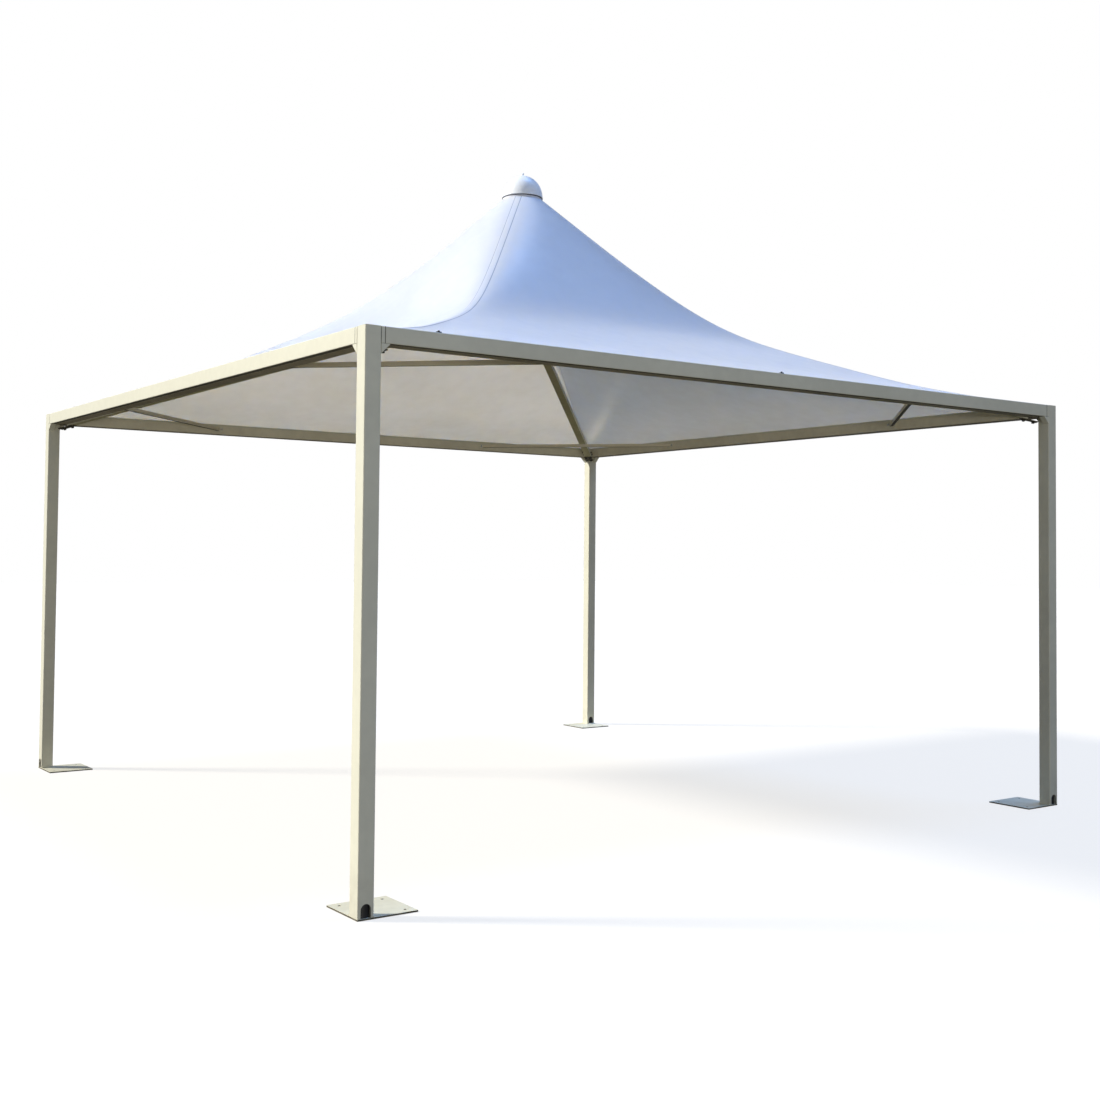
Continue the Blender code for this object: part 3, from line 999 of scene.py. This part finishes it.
@dataclass
class RoofFrame:
    """The hip rafters with their foot brackets, the hub that they meet at, the mast and the crown plate."""

    rafter_radius: float = 0.004
    middle_radii: tuple[tuple[str, float], ...] = (("hub", 0.004), ("mast", 0.0008), ("crown_plate", 0.001))
    slope: float = 0.24
    half_width: float = 0.03
    half_height: float = 0.02
    cheek_start: float = 0.2
    cheek: Triple = (0.12, 0.004, 0.034)
    bolt: HexBolt = HexBolt(flats=0.013, head=0.007, washer_radius=0.01)
    bolt_shares: Pair = (0.25, 0.75)
    sole_start: float = 0.115
    sole: Triple = (0.11, 0.07, 0.006)
    nut: HexBolt = HexBolt()
    nut_shares: Pair = (0.22, 0.78)

    def build(self) -> None:
        """Build the rafters, brackets, hub, mast and crown."""
        # Rafters: cream paint, with painted shade on their undersides.
        looks = [Look.PAINT, Look.RAFTER_BASE]
        for corner in Corner:
            dress("rafter_" + corner.label, "rafter_tube_" + corner.label, looks, self.rafter_radius)
            self._foot_bracket(corner)
        for node, radius in self.middle_radii:
            dress(node, node + "_steel", [Look.PAINT], radius, 2, sharp_outer_edge)

    def _rafter_line(self) -> Matrix:
        """Return the matrix that carries +X from the origin to the front left rafter's line.

        Returns:
            The matrix.
        """
        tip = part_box("rafter_front_left")[0]
        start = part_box("post_front_left")[0]
        middle = tip.z + self.half_height * math.sqrt(1 + self.slope**2)
        foot = (start.x, start.y, middle - self.slope * (tip.x - start.x) * math.sqrt(2))
        pitch = Matrix.Rotation(-math.atan(self.slope), 4, "Y")
        return Matrix.Translation(foot) @ Matrix.Rotation(math.pi / 4, 4, "Z") @ pitch

    def _foot_bracket(self, corner: Corner) -> None:
        """Build the bolted cheeks and the sole plate at a rafter's foot, drawn along +X.

        Args:
            corner: The rafter's corner.
        """
        length, thickness, height = self.cheek
        cheeks = bmesh.new()
        soles = bmesh.new()
        bolts = bmesh.new()
        for way in (-1, 1):
            inner = way * (self.half_width + CLEARANCE)
            outer = inner + way * thickness
            near, far = sorted((inner, outer))
            end = self.cheek_start + length
            add_box(cheeks, (self.cheek_start, near, -height / 2), (end, far, height / 2))
            for share in self.bolt_shares:
                self.bolt.add(bolts, (self.cheek_start + length * share, outer, 0), (0, way, 0))
        length, width, thickness = self.sole
        top = -self.half_height - CLEARANCE
        base = top - thickness
        add_box(soles, (self.sole_start, -width / 2, base), (self.sole_start + length, width / 2, top))
        for share in self.nut_shares:
            for way in (-1, 1):
                self.nut.add(bolts, (self.sole_start + length * share, way * width / 4, base), (0, 0, -1))
        for work, name, look in (
            (cheeks, "rafter_cheeks_", Look.PAINT),
            # The sole plate is painted shade all over.
            (soles, "rafter_sole_", Look.UNDERSIDE),
            (bolts, "rafter_bolts_", Look.DARK_STEEL),
        ):
            work.transform(corner.turn @ self._rafter_line())
            show(work, name + corner.label, [look])


@dataclass
class Canopy:
    """The tensioned cloth roof: one sheet with hip bands, a hem on the gutters and a neck under the cap.

    Heights are above the beam top. Radii are level distances from the middle.
    """

    eave_half: float = 2.392
    thickness: float = 0.0012
    lift: float = 0.0008
    top: float = 1.465
    neck_radius: float = 0.125
    flange_radius: float = 0.088
    corner_slope: float = 0.179
    lower_bend: Triple = (0.061, 0.10, 2.6)
    upper_bend: Triple = (0.574, 0.19, 1.393)
    rounding: float = 2.2
    least_power: float = 0.004
    band_half: float = Look.CLOTH.value.band_half
    band_lift: float = 0.0012
    band_step: float = 0.0015
    fold_height: float = 0.023
    fold_reach: float = 0.58
    fold_swing: float = math.radians(16.5)
    fold_width: float = 0.055
    fold_start: float = 0.25
    fold_lean: float = 0.5
    fold_power: float = 1.5
    fold_faint: float = 0.2
    swells: tuple[tuple[Corner, float], ...] = (
        (Corner.FRONT_RIGHT, 0.03),
        (Corner.BACK_RIGHT, 0.08),
        (Corner.BACK_LEFT, 0.12),
    )
    swell_rise: Pair = (0.5, 1.6)
    swell_fall: Pair = (2.9, 1.7)
    swell_spread: float = 0.5
    ring: Pair = (0.0125, 0.016)
    ring_lip: float = 0.002
    ring_wall: float = 0.0015
    ring_steps: int = 64
    rope_sides: int = 12
    rope_radius: float = 0.0035
    rope_gap: float = 0.0004
    side_columns: int = 50
    column_crowding: float = 0.4
    rows: int = 96
    row_samples: int = 400
    length_per_metre: float = 1.12
    flat: Pair = (5.2, 5.2)
    flat_area: float = 26.5

    def __post_init__(self) -> None:
        """Read the panels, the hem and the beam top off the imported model."""
        self.panels = sorted(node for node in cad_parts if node.startswith("canopy"))
        self.hem_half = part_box(self.panels[0])[1].x
        self.beam_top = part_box("beam_front")[1].z
        self.corner_radius = self.eave_half * math.sqrt(2)

    def build(self) -> None:
        sheet = self._sheet()
        rope = self._rope()
        band = self._neck_band()

    @staticmethod
    def _soft_bend(radius: float, bend: Triple) -> float:
        """Return the extra rise of a slope that steepens smoothly inside a radius."""
        gain, width, middle = bend
        return gain * width * math.log1p(math.exp((middle - radius) / width))

    def _hip_height(self, radius: float) -> float:
        """Return the height of a hip at a radius."""
        level = self.corner_slope * (self.corner_radius - radius)
        return level + self._soft_bend(radius, self.lower_bend) + self._soft_bend(radius, self.upper_bend)

    def _row_shape(self, row: int) -> Triple:
        """Return a row's hip radius, squareness and height.

        Args:
            row: The row's number, from the hem to the flange in the neck.

        Returns:
            The radius of its hip, 1 where it is square and 0 where it is round, and its height.
        """
        if row == 0:
            return self.hem_half * math.sqrt(2), 1.0, 0.0
        if row == 1:
            return self.corner_radius, 1.0, 0.0
        if row == self.rows + 3:
            return self.flange_radius, 0.0, self.top
        share = (row - 1) / (self.rows + 1)
        radius = self.corner_radius + (self.neck_radius - self.corner_radius) * share
        rise = self._hip_height(radius) / self._hip_height(self.neck_radius)
        return radius, 1 - rise**self.rounding, rise * self.top

    def _contour(self, hip_radius: float, squareness: float, angles: np.ndarray) -> np.ndarray:
        """Return the radii of a level line.

        Args:
            hip_radius: Its radius at the hip.
            squareness: How square it is.
            angles: Angles from the middle of a side.

        Returns:
            The radius at each angle.
        """
        power = max(0.5 * (1 - squareness), self.least_power)
        big = np.cos(angles)
        small = np.abs(np.sin(angles))
        length = big * (1 + (small / big) ** (1 / power)) ** power
        return hip_radius * 2 ** (power - 0.5) / length

    def _row_points(self, hip_radius: float, squareness: float) -> tuple[np.ndarray, np.ndarray, np.ndarray]:
        """Return one side of a row, from the middle of the side to the hip.

        Args:
            hip_radius: The row's radius at the hip.
            squareness: How square the row is.

        Returns:
            Distances to the right of the side's middle, distances out from the middle, and distances along
            the row from the hip.
        """
        fine = np.linspace(0.0, math.pi / 4, self.row_samples)
        radii = self._contour(hip_radius, squareness, fine)
        right = radii * np.sin(fine)
        out = radii * np.cos(fine)
        along = np.concatenate(([0.0], np.cumsum(np.hypot(np.diff(right), np.diff(out)))))
        total = along[-1]
        band = self.band_half
        edges = np.array([0.0, band * 0.5, band - self.band_step, band + self.band_step])
        shares = np.linspace(0.0, 1.0, self.side_columns - len(edges) + 2)[1:]
        spaced = shares * (self.column_crowding + (1 - self.column_crowding) * shares)
        from_hip = np.concatenate((edges, edges[-1] + (total - edges[-1]) * spaced))[::-1]
        wanted = total - from_hip
        return np.interp(wanted, along, right), np.interp(wanted, along, out), from_hip

    def _sheet(self) -> Object:
        """Build the cloth from a flat grid rolled round the roof.

        Returns:
            The sheet.
        """
        columns = 8 * self.side_columns
        rows = self.rows + 3
        work = bmesh.new()
        bmesh.ops.create_grid(work, x_segments=columns, y_segments=rows, size=1.0)
        uv_layer = work.loops.layers.uv.new("cloth")
        places: dict[tuple[int, int], tuple[Vector, float]] = {}
        heights = [self._fill_row(row, places) for row in range(rows + 1)]
        spots = {}
        for vert in work.verts:
            column = round((vert.co.x + 1) / 2 * columns) % columns
            spots[vert] = (column, round((vert.co.y + 1) / 2 * rows))
            vert.co = places[spots[vert]][0]
        for face in work.faces:
            for loop in face.loops:
                spot = spots[loop.vert]
                loop[uv_layer].uv = (places[spot][1], heights[spot[1]])
        bmesh.ops.remove_doubles(work, verts=work.verts, dist=MERGE_DISTANCE)
        bmesh.ops.recalc_face_normals(work, faces=work.faces)
        if min(work.faces, key=lambda face: face.calc_center_median().z).normal.z < 0:
            bmesh.ops.reverse_faces(work, faces=work.faces)
        looks = [Look.CLOTH, Look.LINING]
        piece = show(work, "roof_cloth", looks, self.panels, flat_faces=False)
        wall = piece.modifiers.new("thickness", "SOLIDIFY")
        wall.thickness = self.thickness
        wall.offset = -1.0
        wall.material_offset = 1
        wall.use_even_offset = True
        return piece

    def _fill_row(self, row: int, places: dict[tuple[int, int], tuple[Vector, float]]) -> float:
        """Work out the places of one row's points.

        Args:
            row: The row's number, from the hem to the flange in the neck.
            places: The points and their distances from the nearest hip, by column and row.

        Returns:
            The row's distance up from the hem.
        """
        half = self.side_columns
        hip, square, height = self._row_shape(row)
        right, out, from_hip = self._row_points(hip, square)
        for side in Side:
            for step in range(-half, half):
                index = abs(step)
                lift = self.lift + self.thickness
                if from_hip[index] < self.band_half:
                    lift += self.band_lift
                strength = 1.0 if side is Side.RIGHT and step >= 0 else self.fold_faint
                lift += self._fold(right[index], out[index]) * strength
                across = -right[index] if step < 0 else right[index]
                point = side.turn @ Vector((across, -out[index], self.beam_top + height + lift))
                point.z += self._swell(hip, point)
                places[(2 * side.value + 1) * half + step, row] = (point, from_hip[index])
        return (self.hem_half * math.sqrt(2) - hip) * self.length_per_metre

    def _swell(self, hip: float, point: Vector) -> float:
        """Return how much fuller than a symmetric roof the cloth hangs at a point, as in the photograph.

        Args:
            hip: The hip radius of the point's row.
            point: The point.

        Returns:
            The extra height.
        """
        extra = 0.0
        for corner, height in self.swells:
            middle = corner.turn @ Vector((-1, -1, 0))
            away = point.xy.angle(middle.xy) / self.swell_spread
            extra += height * math.exp(-(away**2) / 2)
        return extra * smooth_step(hip, *self.swell_rise) * smooth_step(hip, *self.swell_fall)

    def _fold(self, right: float, out: float) -> float:
        """Return the lift of the soft fold that runs in from a corner of the eave on each side of the hip.

        Args:
            right: The distance to the right of the side's middle.
            out: The distance out from the roof's middle.

        Returns:
            The extra height.
        """
        away_x = max(self.eave_half - right, 0.0)
        away_y = max(self.eave_half - out, 0.0)
        away = max(math.hypot(away_x, away_y), TINY)
        swing = abs(math.atan2(away_y, away_x) - math.pi / 4)
        width = self.fold_width * away / (away + self.fold_start)
        across = away * math.sin(swing - self.fold_swing) / width
        if across > 0:
            across *= self.fold_lean
        near = away / self.fold_reach
        rise = (near * math.exp(1 - near)) ** self.fold_power
        return self.fold_height * rise * math.exp(-(across**2) / 2)

    def _neck_band(self) -> Object:
        """Build the clamp ring that grips the cloth under the cap's seal.

        Returns:
            The ring.
        """
        width, height = self.ring
        top = self.beam_top + self.top + self.lift + self.thickness
        outer = self.neck_radius + width
        rim = [(self.neck_radius, 0), (outer, 0), (outer, -height), (outer - self.ring_lip, -height)]
        work = bmesh.new()
        points = [work.verts.new((radius, 0, top + drop)) for radius, drop in rim]
        for pair in zip(points, points[1:]):
            work.edges.new(pair)
        spin_round(work, self.ring_steps)
        bmesh.ops.solidify(work, geom=work.faces[:], thickness=self.ring_wall)
        return show(work, "neck_band", [Look.BINDING])

    def _rope(self) -> Object:
        """Build the rope in the hem's edge.

        Returns:
            The rope.
        """
        reach = self.hem_half - self.rope_radius
        start = (-reach, -reach, self.beam_top + self.rope_radius + self.rope_gap)
        work = bmesh.new()
        for side in Side:
            rod = add_rod(work, start, (1, 0, 0), 2 * reach, self.rope_radius, self.rope_sides)
            bmesh.ops.transform(work, matrix=side.turn, verts=rod)
        return show(work, "hem_rope", [Look.CLOTH])


@dataclass
class Cap:
    """The seal, dome and knob over the neck."""

    rim: Pair = (0.012, 0.006)
    rim_sunk: float = 0.25
    rim_sides: int = 16
    rim_steps: int = 72

    def build(self) -> None:
        """Build the cap."""
        for node, look, slot in (
            ("cap_seal", Look.RUBBER, Slot.RUBBER),
            ("dome_cap", Look.CAP, Slot.PLASTIC),
            ("cap_knob", Look.CAP, Slot.PLASTIC),
        ):
            show(cad_copy(node), node + "_shell", [look], [node])
        self._rim()

    def _rim(self) -> None:
        """Build the rolled rim round the foot of the dome."""
        low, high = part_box("dome_cap")
        height, bulge = self.rim
        reach = (high.x - low.x) / 2 - bulge * self.rim_sunk
        upright = Matrix.Rotation(math.pi / 2, 4, "X") @ Matrix.Diagonal((bulge, height, 1.0, 1.0))
        work = bmesh.new()
        bmesh.ops.create_circle(work, segments=self.rim_sides, radius=0.5)
        work.transform(Matrix.Translation((reach, 0, low.z + height / 2)) @ upright)
        spin_round(work, self.rim_steps)
        show(work, "dome_rim", [Look.CAP])


# Stage


@dataclass(frozen=True)
class PhotoCamera:
    """The camera at the photograph's viewpoint, in metres, degrees and pixels of the square photograph."""

    position: Triple = (-5.2336, -7.7599, 1.5729)
    heading: float = 35.705
    pitch: float = 1.947
    roll: float = 0.503
    focal_pixels: float = 1359.75
    centre_pixels: Pair = (559.88, 509.17)
    photo_pixels: float = 1100.0
    sensor_width: float = 36.0

    def build(self) -> None:
        """Make the camera and use it."""
        data = bpy.data.cameras.new("photo_camera")
        data.sensor_width = self.sensor_width
        data.lens = self.sensor_width * self.focal_pixels / self.photo_pixels
        data.shift_x = 0.5 - self.centre_pixels[0] / self.photo_pixels
        data.shift_y = self.centre_pixels[1] / self.photo_pixels - 0.5
        data.clip_end = 200.0
        turns = ((-self.heading, "Z"), (90 + self.pitch, "X"), (self.roll, "Z"))
        matrix = Matrix.Translation(self.position)
        for angle, axis in turns:
            matrix = matrix @ Matrix.Rotation(math.radians(angle), 4, axis)
        bpy.context.scene.camera = stand("photo_camera", data, matrix)


@dataclass(frozen=True)
class Lamp:
    """A light of a colour and a strength."""

    name: str
    colour: Triple
    strength: float

    def add(self, kind: str, matrix: Matrix) -> Object:
        """Add the light to the scene.

        Args:
            kind: The kind of light.
            matrix: Its place.

        Returns:
            The lamp.
        """
        data = bpy.data.lights.new(self.name, kind)
        data.color = self.colour
        data.energy = self.strength
        return stand(self.name, data, matrix)


@dataclass(frozen=True)
class SunLamp(Lamp):
    """A distant soft light."""

    towards: Triple
    spread: float

    def build(self) -> None:
        """Build the light."""
        self.add("SUN", pointing(Vector(self.towards))).data.angle = math.radians(self.spread)


@dataclass(frozen=True)
class SoftBox(Lamp):
    """A wide soft light that stands low in front of the gazebo."""

    position: Triple
    aim: Triple
    size: Pair

    def build(self) -> None:
        """Build the light."""
        towards = Vector(self.position) - Vector(self.aim)
        lamp = self.add("AREA", Matrix.Translation(self.position) @ pointing(towards))
        lamp.data.shape = "RECTANGLE"
        lamp.data.size, lamp.data.size_y = self.size
        lamp.visible_camera = False


@dataclass(frozen=True)
class Studio:
    """A pale floor and backdrop, a warm key light, a blue fill from above and weak lights all round."""

    floor_half: float = 60.0
    floor_drop: float = 0.001
    floor_glow: Triple = (0.76, 0.76, 0.76)
    floor_seen: Triple = (0.26, 0.245, 0.215)
    floor_bounce: Triple = (0.12, 0.105, 0.075)
    mottle_scale: float = 0.6
    mottle_shade: float = 0.98
    backdrop: Triple = (1.0, 1.0, 1.0)
    sky: Triple = (0.62, 0.74, 1.0)
    sky_strength: float = 0.25
    lamps: tuple[SunLamp | SoftBox, ...] = (
        SunLamp("key_light", (1.0, 0.965, 0.90), 4.9, (-0.68, 0.50, 0.54), 8.0),
        SunLamp("fill_light", (0.24, 0.47, 1.0), 1.75, (0.34, -0.06, 0.94), 25.0),
        SunLamp("front_light", (1.0, 0.97, 0.90), 0.1, (-0.25, -0.95, 0.08), 60.0),
        SunLamp("back_light", (1.0, 0.93, 0.80), 0.4, (0.75, 0.62, 0.10), 60.0),
        SoftBox("low_light", (1.0, 0.96, 0.87), 760.0, (-11.0, -23.0, 0.7), (0.0, 0.0, 2.3), (14.0, 1.2)),
    )

    def build(self) -> None:
        """Build the floor, the world and the lights."""
        self._floor()
        self._world()
        for lamp in self.lamps:
            lamp.build()
        bpy.context.scene.view_settings.view_transform = "Standard"

    def _floor(self) -> None:
        """Build the floor just under the plates. The camera sees it paler than its light on the gazebo."""
        work = bmesh.new()
        bmesh.ops.create_grid(work, x_segments=1, y_segments=1, size=self.floor_half)
        bmesh.ops.translate(work, verts=work.verts, vec=(0, 0, -self.floor_drop))
        mesh = bpy.data.meshes.new("floor")
        work.to_mesh(mesh)
        work.free()
        paper = bpy.data.materials.new("floor_paper")
        paper.use_nodes = True
        paper.node_tree.nodes.clear()
        wiring = Wiring(paper.node_tree)
        mottle = wiring.noise(wiring.place(), self.mottle_scale)
        seen = wiring.blend(mottle, rgba(self.floor_seen), rgba(self.floor_seen, self.mottle_shade))
        lit = wiring.node("BsdfDiffuse", {"Color": seen}).outputs[0]
        glow = wiring.node("Emission", {"Color": rgba(self.floor_glow)}).outputs[0]
        pale = wiring.node("AddShader", {0: lit, 1: glow}).outputs[0]
        bounce = wiring.node("BsdfDiffuse", {"Color": rgba(self.floor_bounce)}).outputs[0]
        camera = wiring.node("LightPath").outputs["Is Camera Ray"]
        mixed = wiring.node("MixShader", {0: camera, 1: bounce, 2: pale}).outputs[0]
        wiring.node("OutputMaterial", {"Surface": mixed})
        mesh.materials.append(paper)
        floor = stand("floor", mesh)

    def _world(self) -> None:
        """Light the scene from all round, with a plain backdrop behind it."""
        world = bpy.data.worlds.new("studio")
        world.use_nodes = True
        wiring = Wiring(world.node_tree)
        nodes = world.node_tree.nodes
        light = nodes["Background"]
        wiring.feed(light, {"Color": rgba(self.sky), "Strength": self.sky_strength})
        plain = wiring.node("Background", {"Color": rgba(self.backdrop), "Strength": 1.0})
        camera = wiring.node("LightPath").outputs["Is Camera Ray"]
        mixed = wiring.node("MixShader", {0: camera, 1: light.outputs[0], 2: plain.outputs[0]})
        wiring.feed(nodes["World Output"], {"Surface": mixed.outputs[0]})
        bpy.context.scene.world = world


def main() -> None:
    """Build the gazebo's looks, the camera and the studio."""
    logging.basicConfig(level=logging.INFO, format="%(name)s: %(message)s")
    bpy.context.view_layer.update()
    PhotoCamera().build()
    for assembly in (Feet(), Posts(), TopFrame(), Braces(), RoofFrame(), Canopy(), Cap()):
        LOG.info("building %s", type(assembly).__name__)
        assembly.build()
    Studio().build()


if __name__ == "__main__":
    main()
